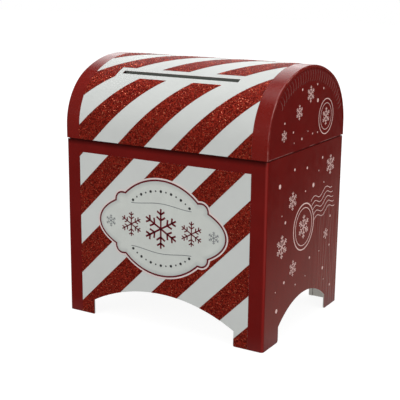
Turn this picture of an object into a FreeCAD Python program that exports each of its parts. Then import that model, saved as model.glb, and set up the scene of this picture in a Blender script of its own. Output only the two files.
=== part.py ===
"""Tin money box in the shape of a post box.

A folded tinplate body stands on four arched feet. A barrel lid with a money slot
turns on two rolled hinges at the back. Millimetres, +Z up, front face towards -Y,
origin on the table under the middle of the body.
"""

import FreeCAD, Part
import math
import os

V = FreeCAD.Vector

# Tinplate, the same for every pressed sheet
sheet = 0.3              # thickness
rim_hem = 3.0            # height of the folded safe edge along a rim
arch_hem = 2.5           # width of the folded safe edge along a foot arch

# Body
body_width = 130.8       # outside, left to right
body_depth = 100.8       # outside, front to back
body_height = 105.0      # table to the body's top edge
body_corner = 1.6        # outside radius of the four upright bends
front_foot_width = 18.1  # of each foot, seen from the front or the back
side_foot_width = 18.6   # of each foot, seen from a side
foot_straight = 9.0      # upright edge of a foot, up to where the arch springs
front_foot_tip = 0.6     # rounding of a foot's inner bottom corner, at the front and the back
side_foot_tip = 1.5      # the same at the sides
front_arch_crown = 21.4  # table to the top of the front and back arches
side_arch_crown = 20.3   # table to the top of the side arches
seam_width = 5.0         # lock seam down the middle of the back
seam_proud = 0.6         # how far the lock seam stands out
seam_drop = 4.0          # body's top edge down to the end of the lock seam

# Floor pan, a tray welded inside the body over the arches
pan_flange = 8.0         # height of the pan's upright flange
pan_bend = 1.2           # outside radius between floor and flange
pan_above_arch = 0.5     # clearance over the arches' hems
seat_corner_gap = 0.5    # extra corner radius that keeps seated corners clear

# Neck collar, a sheet ring inside the body's rim that the lid slips over
neck_below = 10.0        # reach down inside the body
neck_above = 7.0         # reach up inside the lid
neck_step = 0.4          # how far the collar is drawn in, to leave room for the lid
neck_step_drop = 1.0     # body's top edge down to where it is drawn in

# Lid
lid_overhang = 0.1       # lid's outside beyond the body's outside
rim_gap = 0.6            # body's top edge to the lid's bottom edge
lid_skirt = 7.0          # upright part of the lid's front and back
shoulder_radius = 34.7   # lid's front and back quarter rounds
crown_radius = 68.7      # lid's flatter top
lid_edge_bend = 0.8      # outside radius where the barrel folds over its ends
end_lip = 1.6            # width of barrel folded over each end
end_flange = 5.0         # depth of the flange round each end
end_bend = 0.9           # outside radius of that flange's bend
end_fit = 0.05           # gap between an end's flange and the barrel
slot_length = 75.5
slot_width = 3.0
slot_from_rim = 45.2     # lid's front edge to the slot's middle, along the sheet

# Rolled hinges at the back
wire_radius = 0.6        # hinge pin
pin_clearance = 0.05     # round the pin, inside each knuckle
pin_head = 0.12          # how far each upset end stands out round the pin
pin_head_length = 0.5
hinge_spacing = 70.0     # middle of one hinge to the middle of the other
lid_knuckle = 8.0        # length of each hinge's middle knuckle
body_knuckle = 5.0       # length of its two outer knuckles
knuckle_gap = 0.4        # between neighbouring knuckles
head_gap = 0.1           # between an outer knuckle and the pin's head
hinge_clearance = 0.45   # lid's cut-out round the body's knuckles
curl_angle = 300.0       # how far a knuckle's sheet is rolled round the pin
tab_drop = 3.0           # body's top edge down to where a hinge tab leaves it
tab_straight = 0.8       # upright end of that tab, under the roll

# Places that follow from the sizes above
half_width = body_width / 2
half_depth = body_depth / 2
floor_z = max(front_arch_crown, side_arch_crown) + arch_hem + pan_above_arch
lid_base = body_height + rim_gap
lid_half_width = half_width + lid_overhang
lid_half_depth = half_depth + lid_overhang
spring_z = lid_base + lid_skirt
shoulder_y = lid_half_depth - shoulder_radius
crown_drop = math.sqrt((crown_radius - shoulder_radius) ** 2 - shoulder_y ** 2)
crown_z = spring_z - crown_drop
shoulder_turn = math.atan2(crown_drop, shoulder_y)
knuckle_bore = wire_radius + pin_clearance
knuckle_radius = knuckle_bore + sheet
hinge_y = lid_half_depth + knuckle_bore
hinge_z = body_height + rim_gap / 2
hinge_places = (-hinge_spacing / 2, hinge_spacing / 2)
hinge_half_length = lid_knuckle / 2 + knuckle_gap + body_knuckle
pin_half_length = hinge_half_length + head_gap + pin_head_length
past = 2.0               # how far a cutting shape runs past what it cuts


def line(start, end):
    return Part.LineSegment(start, end).toShape()


def arc(start, middle, end):
    return Part.Arc(start, middle, end).toShape()


def prism(edges, travel):
    """A closed outline, swept along a vector."""
    return Part.Face(Part.Wire(edges)).extrude(travel)


def rounded_block(width, depth, low, high, radius):
    """An upright block with rounded corners, centred on the Z axis."""
    x, y = width / 2, depth / 2
    cx, cy = x - radius, y - radius
    reach = radius * math.sqrt(0.5)
    at = lambda px, py: V(px, py, low)
    edges = [
        line(at(-cx, -y), at(cx, -y)),
        arc(at(cx, -y), at(cx + reach, -cy - reach), at(x, -cy)),
        line(at(x, -cy), at(x, cy)),
        arc(at(x, cy), at(cx + reach, cy + reach), at(cx, y)),
        line(at(cx, y), at(-cx, y)),
        arc(at(-cx, y), at(-cx - reach, cy + reach), at(-x, cy)),
        line(at(-x, cy), at(-x, -cy)),
        arc(at(-x, -cy), at(-cx - reach, -cy - reach), at(-cx, -y)),
    ]
    return prism(edges, V(0, 0, high - low))


def ring(layer, layers, low, high, extra_corner=0.0):
    """A band of sheet round the inside of the body, counted in sheets from the outside."""
    def block(count, bottom, top):
        inset = 2 * count * sheet
        radius = body_corner - count * sheet + extra_corner
        return rounded_block(body_width - inset, body_depth - inset, bottom, top, radius)
    return block(layer, low, high).cut(block(layer + layers, low - past, high + past))


def box(x_span, y_span, z_span):
    """A plain block between pairs of limits."""
    size = [b - a for a, b in (x_span, y_span, z_span)]
    return Part.makeBox(*size, V(x_span[0], y_span[0], z_span[0]))


def second_sheet(half, side):
    """Limits of the layer folded inside a wall whose outside lies half from the middle."""
    return sorted((side * (half - 2 * sheet), side * (half - sheet)))


def edges_at(shape, reaches):
    """The edges whose end points and middle all satisfy a test."""
    def points(edge):
        middle = edge.valueAt((edge.FirstParameter + edge.LastParameter) / 2)
        return [vertex.Point for vertex in edge.Vertexes] + [middle]
    return [edge for edge in shape.Edges if all(reaches(p) for p in points(edge))]


def arch_prism(place, travel, half_span, crown, tip):
    """The space under a foot arch. place maps (along, up) to space."""
    reach = tip * math.sqrt(0.5)
    def foot(side):
        outer = side * (half_span + tip)
        if tip == 0:
            return [line(place(outer, -past), place(outer, foot_straight))]
        knee = place(side * (half_span + tip - reach), tip - reach)
        return [
            line(place(outer, -past), place(outer, 0)),
            arc(place(outer, 0), knee, place(side * half_span, tip)),
            line(place(side * half_span, tip), place(side * half_span, foot_straight)),
        ]
    top = arc(place(-half_span, foot_straight), place(0, crown), place(half_span, foot_straight))
    sole = line(place(half_span + tip, -past), place(-half_span - tip, -past))
    return prism(foot(-1) + [top] + foot(1)[::-1] + [sole], travel)


def front_arch(margin, tip):
    """The front and back arches, cut straight through, widened by a margin."""
    start = -half_depth - past
    place = lambda along, up: V(along, start, up)
    span = half_width - front_foot_width + margin
    return arch_prism(place, V(0, -2 * start, 0), span, front_arch_crown + margin, tip)


def side_arch(margin, tip):
    """The two side arches, cut straight through, widened by a margin."""
    start = -half_width - past
    place = lambda along, up: V(start, along, up)
    span = half_depth - side_foot_width + margin
    return arch_prism(place, V(-2 * start, 0, 0), span, side_arch_crown + margin, tip)


def arch_hems(arch, tip, inside_wall):
    """The sheet folded back inside the walls along an arch."""
    return arch(arch_hem, 0).cut(arch(0, tip)).common(inside_wall)


def knuckle(x_middle, length, roll, web):
    """A tab of sheet rolled round the hinge pin. roll is +1 under the pin first, -1 over it.

    web lists the (y, z) corners of the flat tab that carries the roll.
    """
    start_x = x_middle - length / 2
    travel = V(length, 0, 0)
    at = lambda y, z: V(start_x, y, z)
    def on_circle(radius, turned):
        angle = math.radians(180 + roll * turned)
        return at(hinge_y + radius * math.cos(angle), hinge_z + radius * math.sin(angle))
    def rolled(radius, first, last):
        ends = [on_circle(radius, turned) for turned in (first, (first + last) / 2, last)]
        return arc(*ends)
    curl = prism([
        rolled(knuckle_radius, 0, curl_angle),
        line(on_circle(knuckle_radius, curl_angle), on_circle(knuckle_bore, curl_angle)),
        rolled(knuckle_bore, curl_angle, 0),
        line(on_circle(knuckle_bore, 0), on_circle(knuckle_radius, 0)),
    ], travel)
    corners = [at(y, z) for y, z in web]
    flat = prism([line(a, b) for a, b in zip(corners, corners[1:] + corners[:1])], travel)
    return curl.fuse(flat)


def body_knuckles():
    """Two outer knuckles of each hinge, on tabs that step out from the back wall."""
    foot_z = body_height - tab_drop
    step_z = hinge_z - tab_straight
    web = [
        (half_depth - sheet, foot_z),
        (half_depth, foot_z),
        (hinge_y - knuckle_bore, step_z),
        (hinge_y - knuckle_bore, hinge_z),
        (hinge_y - knuckle_radius, hinge_z),
        (hinge_y - knuckle_radius, step_z),
    ]
    offset = hinge_half_length - body_knuckle / 2
    return [knuckle(x + side * offset, body_knuckle, -1, web)
            for x in hinge_places for side in (-1, 1)]


def knuckle_reliefs():
    """Cut-outs in the body's rim that leave room for the lid's knuckles."""
    half = lid_knuckle / 2 + knuckle_gap
    depth = (half_depth - 2 * sheet - knuckle_gap, half_depth + past)
    height = (hinge_z - knuckle_radius - hinge_clearance, body_height + past)
    return [box((x - half, x + half), depth, height) for x in hinge_places]


def make_body_shell():
    """Front, sides and back folded from one sheet, with hemmed rims and arches."""
    shell = ring(0, 1, 0, body_height)
    rim = ring(1, 1, body_height - rim_hem, body_height)
    seam = box((-seam_width / 2, seam_width / 2), (half_depth, half_depth + seam_proud),
               (0, body_height - seam_drop))
    arches = front_arch(0, front_foot_tip).fuse(side_arch(0, side_foot_tip))
    shell = shell.fuse([rim, seam]).cut([arches] + knuckle_reliefs())
    flat_x, flat_y = half_width - body_corner, half_depth - body_corner
    height = (0, body_height)
    walls_y = [box((-flat_x, flat_x), second_sheet(half_depth, side), height) for side in (-1, 1)]
    walls_x = [box(second_sheet(half_width, side), (-flat_y, flat_y), height) for side in (-1, 1)]
    hems = [arch_hems(front_arch, front_foot_tip, wall) for wall in walls_y]
    hems += [arch_hems(side_arch, side_foot_tip, wall) for wall in walls_x]
    return shell.fuse(hems + body_knuckles()).removeSplitter()


def make_floor_pan():
    """A tray with an upright flange, seated against the body's walls."""
    radius = body_corner - sheet + seat_corner_gap
    def tray(inset, low, high, bend):
        block = rounded_block(body_width - 2 * inset, body_depth - 2 * inset, low, high,
                              radius - (inset - sheet))
        return block.makeFillet(bend, edges_at(block, lambda p: abs(p.z - low) < 1e-6))
    top = floor_z + pan_flange
    outside = tray(sheet, floor_z, top, pan_bend)
    return outside.cut(tray(2 * sheet, floor_z + sheet, top + past, pan_bend - sheet))


def make_neck_collar():
    """A band inside the body's hemmed rim, drawn in above it, with its own top edge folded in."""
    top = body_height + neck_above
    step_z = body_height - neck_step_drop
    step_layers = neck_step / sheet
    seated = ring(2, 1, body_height - neck_below, step_z, seat_corner_gap)
    step = ring(2, 1 + step_layers, step_z - sheet, step_z, seat_corner_gap)
    drawn_in = ring(2 + step_layers, 1, step_z - sheet, top, seat_corner_gap)
    hem = ring(3 + step_layers, 1, top - rim_hem, top, seat_corner_gap)
    return seated.fuse([step, drawn_in, hem]).removeSplitter()


def lid_block(inset, x_low, x_high, base):
    """The lid's barrel section, a given depth inside its outside, as a solid length."""
    half = lid_half_depth - inset
    shoulder = shoulder_radius - inset
    crown = crown_radius - inset
    at = lambda y, z: V(x_low, y, z)
    def on_shoulder(side, turn):
        return at(side * (shoulder_y + shoulder * math.cos(turn)), spring_z + shoulder * math.sin(turn))
    def quarter(side, turns):
        return arc(*[on_shoulder(side, turn) for turn in turns])
    turns = (0, shoulder_turn / 2, shoulder_turn)
    edges = [
        line(at(-half, base), at(-half, spring_z)),
        quarter(-1, turns),
        arc(on_shoulder(-1, shoulder_turn), at(0, crown_z + crown), on_shoulder(1, shoulder_turn)),
        quarter(1, turns[::-1]),
        line(at(half, spring_z), at(half, base)),
        line(at(half, base), at(-half, base)),
    ]
    return prism(edges, V(x_high - x_low, 0, 0))


def bent_lid_block(inset, x_low, x_high, base, bend):
    """A lid block with its two end edges rounded, apart from along its base."""
    block = lid_block(inset, x_low, x_high, base)
    def on_end(p):
        return min(abs(p.x - x_low), abs(p.x - x_high)) < 1e-6
    def on_base(edge):
        return all(abs(vertex.Z - base) < 1e-6 for vertex in edge.Vertexes)
    return block.makeFillet(bend, [edge for edge in edges_at(block, on_end) if not on_base(edge)])


def along_lid(distance):
    """Point (y, z) on the lid's outside and the outward slope there, from the front edge."""
    if distance <= lid_skirt:
        return -lid_half_depth, lid_base + distance, 0.0
    turn = (distance - lid_skirt) / shoulder_radius
    if turn <= shoulder_turn:
        radius, y, z = shoulder_radius, -shoulder_y, spring_z
    else:
        radius, y, z = crown_radius, 0.0, crown_z
        turn = shoulder_turn + (distance - lid_skirt - shoulder_radius * shoulder_turn) / crown_radius
    return y - radius * math.cos(turn), z + radius * math.sin(turn), turn


def slot_cutter():
    """A bar through the sheet, square to the lid's surface at the slot."""
    y, z, turn = along_lid(slot_from_rim)
    bar = box((-slot_length / 2, slot_length / 2), (-slot_width / 2, slot_width / 2), (-past, past))
    bar.rotate(V(0, 0, 0), V(1, 0, 0), 90 - math.degrees(turn))
    bar.translate(V(0, y, z))
    return bar


def make_lid_barrel():
    """The curved sheet of the lid, folded in over its ends, with slot and hinge knuckles."""
    outside = bent_lid_block(0, -lid_half_width, lid_half_width, lid_base, lid_edge_bend)
    inner = lid_half_width - sheet
    inside = bent_lid_block(sheet, -inner, inner, lid_base - past, lid_edge_bend - sheet)
    window = lid_block(end_lip, -lid_half_width - past, lid_half_width + past, lid_base - past)
    barrel = outside.cut([inside, window, slot_cutter()])
    hem_end = lid_half_width - 2 * sheet - end_flange - end_bend
    hem_z = (lid_base, lid_base + rim_hem)
    hems = [box((-hem_end, hem_end), second_sheet(lid_half_depth, side), hem_z) for side in (-1, 1)]
    barrel = barrel.fuse(hems)
    notch_top = hinge_z + knuckle_radius + hinge_clearance
    notch_half = pin_half_length + hinge_clearance
    notch_y = (lid_half_depth - 2 * sheet - past, lid_half_depth + past)
    notches = [box((x - notch_half, x + notch_half), notch_y, (lid_base - past, notch_top))
               for x in hinge_places]
    web = [
        (hinge_y - knuckle_radius, hinge_z),
        (hinge_y - knuckle_bore, hinge_z),
        (hinge_y - knuckle_bore, notch_top),
        (hinge_y - knuckle_radius, notch_top),
    ]
    knuckles = [knuckle(x, lid_knuckle, 1, web) for x in hinge_places]
    return barrel.cut(notches).fuse(knuckles).removeSplitter()


def make_lid_end(side):
    """A pressed end panel with a flange inside the barrel; side is +1 right, -1 left."""
    face_x = lid_half_width - sheet
    inset = sheet + end_fit
    outside = bent_lid_block(inset, face_x - end_flange, face_x, lid_base, end_bend)
    outside = outside.common(box((face_x - end_flange + end_bend, face_x), (-body_depth, body_depth),
                                 (lid_base, crown_z + crown_radius)))
    inside = bent_lid_block(inset + sheet, face_x - 2 * end_flange, face_x - sheet, lid_base - past,
                            end_bend - sheet)
    hem_end = lid_half_depth - inset - sheet - end_bend
    hem = box((face_x - 2 * sheet, face_x - sheet), (-hem_end, hem_end), (lid_base, lid_base + rim_hem))
    end = outside.cut(inside).fuse(hem).removeSplitter()
    return end if side > 0 else end.mirror(V(0, 0, 0), V(1, 0, 0))


def make_hinge_pin(x_middle):
    """A wire with both ends upset, through the knuckles of one hinge."""
    along = V(1, 0, 0)
    start = V(x_middle - pin_half_length, hinge_y, hinge_z)
    wire = Part.makeCylinder(wire_radius, 2 * pin_half_length, start, along)
    starts = (x_middle - pin_half_length, x_middle + pin_half_length - pin_head_length)
    heads = [Part.makeCylinder(wire_radius + pin_head, pin_head_length, V(x, hinge_y, hinge_z), along)
             for x in starts]
    return wire.fuse(heads).removeSplitter()


pieces = {
    "body_shell": make_body_shell(),
    "floor_pan": make_floor_pan(),
    "neck_collar": make_neck_collar(),
    "hinge_pin_left": make_hinge_pin(hinge_places[0]),
    "hinge_pin_right": make_hinge_pin(hinge_places[1]),
    "lid_barrel": make_lid_barrel(),
    "lid_end_left": make_lid_end(-1),
    "lid_end_right": make_lid_end(1),
}

os.makedirs("parts", exist_ok=True)
for name, shape in pieces.items():
    shape.exportStep(f"parts/{name}.step")
    bounds = shape.BoundBox
    print(f"{name}: solids {len(shape.Solids)}, valid {shape.isValid()}, volume {shape.Volume:.1f} mm3, "
          f"x {bounds.XMin:.2f} to {bounds.XMax:.2f}, y {bounds.YMin:.2f} to {bounds.YMax:.2f}, "
          f"z {bounds.ZMin:.2f} to {bounds.ZMax:.2f}")
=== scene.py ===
"""Dresses the tin money box: printed sheet, glitter stripes, label, snow prints and studio.

Everything is in metres in the frame's own axes: +Z up, the front faces -Y.
"""

import math

import bmesh
import bpy
from mathutils import Matrix, Vector


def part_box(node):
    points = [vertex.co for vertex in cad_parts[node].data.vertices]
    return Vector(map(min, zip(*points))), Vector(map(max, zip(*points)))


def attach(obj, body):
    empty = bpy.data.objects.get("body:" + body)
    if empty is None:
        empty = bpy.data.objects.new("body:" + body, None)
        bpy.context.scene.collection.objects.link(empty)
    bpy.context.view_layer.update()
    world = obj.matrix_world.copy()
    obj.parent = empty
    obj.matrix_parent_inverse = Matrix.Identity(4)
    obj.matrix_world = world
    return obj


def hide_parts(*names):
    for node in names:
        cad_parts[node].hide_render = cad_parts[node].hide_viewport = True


bl_info = {
    "name": "Tin money box",
    "version": (1, 0, 0),
    "blender": (4, 5, 0),
    "location": "View3D > Sidebar > Tin box",
    "description": "Builds the printed finish of a striped tin money box and its studio",
    "category": "Object",
}

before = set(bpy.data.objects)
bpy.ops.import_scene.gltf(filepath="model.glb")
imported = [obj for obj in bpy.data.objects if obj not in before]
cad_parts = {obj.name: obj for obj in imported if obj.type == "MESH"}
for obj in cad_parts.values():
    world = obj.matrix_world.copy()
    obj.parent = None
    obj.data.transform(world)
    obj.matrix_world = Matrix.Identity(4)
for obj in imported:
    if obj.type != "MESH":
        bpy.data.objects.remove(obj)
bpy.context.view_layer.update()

MM = 0.001

# Places read from the frame
shell_low, shell_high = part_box("body_shell")
barrel_low, barrel_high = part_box("lid_barrel")
end_low, end_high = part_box("lid_end_right")
neck_low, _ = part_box("neck_collar")
HALF_WIDTH = shell_high.x
HALF_DEPTH = -shell_low.y
LID_HALF_DEPTH = -barrel_low.y
LID_BASE = end_low.z
LID_FACE = end_high.x
LID_HALF_WIDTH = barrel_high.x

# Shape of the sheet, as in the construction
SHEET = 0.3 * MM
NECK_DEPTH = 10.0 * MM
RIM_Z = neck_low.z + NECK_DEPTH
BODY_CORNER = 1.6 * MM
FRONT_ARCH_HALF = HALF_WIDTH - 18.1 * MM
ARCH_SPRING = 9.0 * MM
FRONT_ARCH_CROWN = 21.4 * MM
LID_SKIRT = 7.0 * MM
SHOULDER = 34.7 * MM
CROWN = 68.7 * MM
SLOT_LENGTH = 75.5 * MM
SLOT_WIDTH = 3.0 * MM
SLOT_FROM_RIM = 45.2 * MM
END_LIP = 1.6 * MM

SPRING_Z = LID_BASE + LID_SKIRT
SHOULDER_Y = LID_HALF_DEPTH - SHOULDER
CROWN_DROP = math.sqrt((CROWN - SHOULDER) ** 2 - SHOULDER_Y ** 2)
CROWN_Z = SPRING_Z - CROWN_DROP
SHOULDER_TURN = math.atan2(CROWN_DROP, SHOULDER_Y)
SHOULDER_ARC = SHOULDER * SHOULDER_TURN
CROWN_ARC = CROWN * (math.pi / 2 - SHOULDER_TURN)
LID_ARC = 2 * (LID_SKIRT + SHOULDER_ARC + CROWN_ARC)

# Turns that lay a flat print, drawn in X and Y, onto a wall
FACING_FRONT = (math.pi / 2, 0.0, 0.0)
FACING_RIGHT = (math.pi / 2, 0.0, math.pi / 2)
FACING_LEFT = (math.pi / 2, 0.0, -math.pi / 2)


def linear(hex_colour):
    """A hex colour as linear red, green, blue and alpha."""
    def channel(value):
        return value / 12.92 if value <= 0.04045 else ((value + 0.055) / 1.055) ** 2.4
    parts = [int(hex_colour[i:i + 2], 16) / 255 for i in (1, 3, 5)]
    return tuple(channel(part) for part in parts) + (1.0,)


def length(name, description, millimetres):
    """A size that a user would change."""
    return bpy.props.FloatProperty(name=name, description=description, default=millimetres * MM,
                                   unit="LENGTH", precision=5)


def colour(name, description, hex_colour):
    """A colour that a user would change."""
    return bpy.props.FloatVectorProperty(name=name, description=description, default=linear(hex_colour),
                                         subtype="COLOR", size=4, min=0.0, max=1.0)


class PrintSizes(bpy.types.PropertyGroup):
    stripe_pitch: length("Stripe pitch", "From one stripe edge to the next, across x or up z", 17.65)
    front_start: length("Front stripe start", "Height, over the middle, of the first red edge", 133.8)
    lid_start: length("Lid stripe start", "Way round the lid to its first red edge", 99.4)
    side_border: length("Side border", "Plain red beside the stripes", 9.4)
    top_border: length("Top border", "Plain red under the body's rim", 7.0)
    slot_frame: length("Slot frame", "Plain white round the money slot", 3.4)
    ink: length("Ink", "Thickness of a printed layer", 0.03)
    glitter: length("Glitter", "Thickness of the glitter bed", 0.1)
    flake_radius: length("Flake radius", "Size of one glitter flake", 0.27)
    flakes_per_mm2: bpy.props.FloatProperty(
        name="Flakes", description="Glitter flakes on a square millimetre", default=1.9)
    label_width: length("Label width", "Half the width of the label, to the middle of its line", 41.7)
    label_height: length("Label height", "Half the height of the label, to the middle of its line", 27.6)
    label_middle: length("Label middle", "Height of the label's middle", 60.0)


class InkColours(bpy.types.PropertyGroup):
    red: colour("Red", "Plain red print of the lid", "#811A13")
    side_red: colour("Side red", "Red print of the body and the lid's ends", "#761714")
    white: colour("White", "White of the stripes", "#DADDDA")
    glitter_dark: colour("Glitter bed", "Glue between the flakes", "#5E0F0A")
    glitter_mid: colour("Glitter red", "Most flakes", "#AC3323")
    glitter_bright: colour("Glitter spark", "Brightest flakes", "#F0906A")
    snow: colour("Snow", "Pale print of the sides", "#FFDAD3")
    label: colour("Label", "Field of the label", "#DCE0DA")
    label_rim: colour("Label rim", "Outer edge of the label", "#EBDCD8")
    label_line: colour("Label line", "Line round the label and its ornament", "#6E1420")
    label_grey: colour("Label grey", "Small ornaments of the label", "#84888A")
    label_dark: colour("Label dark", "Rows of dots on the label", "#3A3B3C")
    # Painted highlight: the pale tint laid along the lid's folds and lower edges, where they catch light
    worn: colour("Worn print", "Thin print over bright tin along a fold", "#D9A79F")
    # Painted shade: the neck's outside is printed dark red, so that the gap under the lid shows dark
    neck: colour("Neck", "Print of the neck under the lid", "#5A120F")
    tinplate: colour("Tinplate", "Bare sheet inside", "#D8D4CC")
    lacquer: colour("Lacquer", "Grey inside of the slot", "#7E837C")
    wire: colour("Wire", "Hinge pins", "#A3A29D")


# Flat figures, each a list of convex cells of (u, v) points in anticlockwise order

def circle(middle, radius, sides):
    """The outline of a round, as points."""
    turn = 2 * math.pi / sides
    return [(middle[0] + radius * math.cos(i * turn), middle[1] + radius * math.sin(i * turn))
            for i in range(sides)]


def band(outer, inner):
    """Cells between two closed outlines with the same number of points."""
    count = len(outer)
    return [[inner[i], outer[i], outer[(i + 1) % count], inner[(i + 1) % count]] for i in range(count)]


def ring(middle, radius, width):
    """A round line, its width measured inwards."""
    sides = 64
    return band(circle(middle, radius, sides), circle(middle, radius - width, sides))


def stroke(points, width):
    """A line of even width along open points."""
    sides = []
    for before, (u, v), after in zip(points[:1] + points, points, points[1:] + points[-1:]):
        run_u, run_v = after[0] - before[0], after[1] - before[1]
        half = width / 2 / math.hypot(run_u, run_v)
        sides.append(((u + run_v * half, v - run_u * half), (u - run_v * half, v + run_u * half)))
    return [[a[0], b[0], b[1], a[1]] for a, b in zip(sides, sides[1:])]


def clipped(cell, reach, limit):
    """The part of a convex cell where reach(u, v) is at most a limit."""
    kept = []
    for a, b in zip(cell, cell[1:] + cell[:1]):
        over_a, over_b = reach(*a) - limit, reach(*b) - limit
        if over_a <= 0:
            kept.append(a)
        if over_a * over_b < 0:
            part = over_a / (over_a - over_b)
            kept.append((a[0] + part * (b[0] - a[0]), a[1] + part * (b[1] - a[1])))
    return kept if len(kept) > 2 else []


def striped(cells, start, pitch):
    """The red stripes of a striped field: slanting bands of v - u, every other pitch."""
    def slant(u, v):
        return v - u

    def fall(u, v):
        return u - v

    made = []
    for cell in cells:
        values = [slant(*point) for point in cell]
        first = math.floor((start - max(values)) / pitch)
        last = math.ceil((start - min(values)) / pitch)
        for step in range(first, last + 1):
            top = start - step * pitch
            part = clipped(cell, slant, top) if step % 2 == 0 else []
            part = clipped(part, fall, pitch - top)
            if part:
                made.append(part)
    return made


# Surfaces, each turning (u, v, height) into a place

def on_front(u, v, height):
    return u, -HALF_DEPTH - height, v


def on_back(u, v, height):
    return -u, HALF_DEPTH + height, v


def on_right(u, v, height):
    return HALF_WIDTH + height, u, v


def on_left(u, v, height):
    return -HALF_WIDTH - height, -u, v


def on_right_end(u, v, height):
    return LID_FACE + height, u, v


def on_left_end(u, v, height):
    return -LID_FACE - height, -u, v


def on_lid(u, v, height):
    """u across the lid, v round it from its front edge."""
    half = LID_ARC / 2
    side = -1 if v <= half else 1
    way = v if v <= half else LID_ARC - v
    if way <= LID_SKIRT:
        return u, side * (LID_HALF_DEPTH + height), LID_BASE + way
    turn = (way - LID_SKIRT) / SHOULDER
    if turn <= SHOULDER_TURN:
        radius = SHOULDER + height
        return u, side * (SHOULDER_Y + radius * math.cos(turn)), SPRING_Z + radius * math.sin(turn)
    turn = SHOULDER_TURN + (way - LID_SKIRT - SHOULDER_ARC) / CROWN
    radius = CROWN + height
    return u, side * radius * math.cos(turn), CROWN_Z + radius * math.sin(turn)


# Meshes

def new_piece(name, mesh, finish=None):
    """A mesh as an object of the scene, in one material."""
    piece = bpy.data.objects.new(name, mesh)
    bpy.context.scene.collection.objects.link(piece)
    if finish:
        mesh.materials.append(finish)
    return piece


def printed(name, cells, place, low, high, ink, attribute=None):
    """A thin closed layer over flat cells. attribute(u, v) is kept on each point as a number."""
    points, numbers, values, faces, sides = {}, [], [], [], {}

    def point(u, v, height):
        key = (round(u, 7), round(v, 7), height)
        if key not in points:
            points[key] = len(numbers)
            numbers.append(place(u, v, height))
            values.append(attribute(u, v) if attribute else 0.0)
        return points[key]

    for cell in cells:
        faces.append([point(u, v, high) for u, v in cell])
        faces.append([point(u, v, low) for u, v in reversed(cell)])
        for a, b in zip(cell, cell[1:] + cell[:1]):
            key = (point(*a, high), point(*b, high))
            sides[key] = (point(*a, low), point(*b, low))
    for (a, b), (a_low, b_low) in sides.items():
        if (b, a) not in sides:
            faces.append([b, a, a_low, b_low])
    mesh = bpy.data.meshes.new(name)
    mesh.from_pydata(numbers, [], faces)
    if attribute:
        mesh.attributes.new("inset", "FLOAT", "POINT").data.foreach_set("value", values)
    mesh.update()
    return new_piece(name, mesh, ink)


def finished(piece, body, slot, *replaced):
    """Puts a piece on its body and hides the plain solids it replaces. The slot is not used."""
    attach(piece, body)
    for name in replaced:
        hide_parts(name)


def sheet_copy(node_name, piece_name, outside, inside, is_bare):
    """A smooth copy of a pressed sheet, printed outside and bare where is_bare(middle, normal) says so."""
    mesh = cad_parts[node_name].data.copy()
    mesh.materials.clear()
    piece = new_piece(piece_name, mesh, outside)
    mesh.materials.append(inside)
    shape = bmesh.new()
    shape.from_mesh(mesh)
    bmesh.ops.remove_doubles(shape, verts=shape.verts, dist=0.001 * MM)
    sharp = math.radians(40)
    for edge in shape.edges:
        edge.smooth = edge.calc_face_angle(math.pi) < sharp
    for face in shape.faces:
        face.smooth = True
        face.material_index = 1 if is_bare(face.calc_center_median(), face.normal) else 0
    shape.to_mesh(mesh)
    shape.free()
    weights = piece.modifiers.new("flat faces stay flat", "WEIGHTED_NORMAL")
    weights.keep_sharp = True
    return piece


# Materials

# Kinds of node that come up often
NOISE = "ShaderNodeTexNoise"
RANGE = "ShaderNodeMapRange"
MATH = "ShaderNodeMath"
MIX = "ShaderNodeMix"
BUMP = "ShaderNodeBump"
PARTS = "ShaderNodeSeparateXYZ"
SHADER = "ShaderNodeBsdfPrincipled"
OUTPUT = "ShaderNodeOutputMaterial"

# Sockets of a node that mixes two colours or two numbers
SHARE = 0
FIRST, SECOND, MIXED = 6, 7, 2
FIRST_NUMBER, SECOND_NUMBER, MIXED_NUMBER = 2, 3, 0


def node(tree, kind, inputs=None, **settings):
    """Adds a node and gives its outputs. A socket or a list of them is linked; any other value is set."""
    made = tree.nodes.new(kind)
    for name, value in settings.items():
        setattr(made, name, value)
    for key, value in (inputs or {}).items():
        if isinstance(value, (bpy.types.NodeSocket, list)):
            for socket in value if isinstance(value, list) else [value]:
                tree.links.new(socket, made.inputs[key])
        else:
            made.inputs[key].default_value = value
    return made.outputs


def new_material(name):
    """An empty material, its tree and its coordinates."""
    made = bpy.data.materials.new(name)
    made.use_nodes = True
    tree = made.node_tree
    tree.nodes.clear()
    return made, tree, node(tree, "ShaderNodeTexCoord")["Object"]


def closed_material(made, inputs):
    """Ends a material: a shader with these inputs goes to its output."""
    shader = node(made.node_tree, SHADER, inputs)
    node(made.node_tree, OUTPUT, {"Surface": shader["BSDF"]})
    return made


def shaded(rgba, factor):
    """A colour made lighter or darker."""
    return tuple(part * factor for part in rgba[:3]) + (1.0,)


def patches(tree, place, size, low, high, detail=2.0, faint=0.3, full=0.7):
    """Soft patches about one size across: a number from low to high where the noise is faint to full."""
    noise = node(tree, NOISE, {"Vector": place, "Scale": 1 / size, "Detail": detail})
    return node(tree, RANGE, {"Value": noise["Fac"], "From Min": faint, "From Max": full,
                              "To Min": low, "To Max": high})["Result"]


def mottled(tree, place, plain, size, shade):
    """A colour with soft darker patches about one size across."""
    share = patches(tree, place, size, 0.0, 1.0)
    return node(tree, MIX, {SHARE: share, FIRST: plain, SECOND: shaded(plain, shade)},
                data_type="RGBA")[MIXED]


def sides_of(tree, place):
    """How far a place lies from the middle across and back, and its height."""
    parts = node(tree, PARTS, {"Vector": place})
    across, back = (node(tree, MATH, {0: parts[axis]}, operation="ABSOLUTE")["Value"] for axis in "XY")
    return across, back, parts["Z"]


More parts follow.
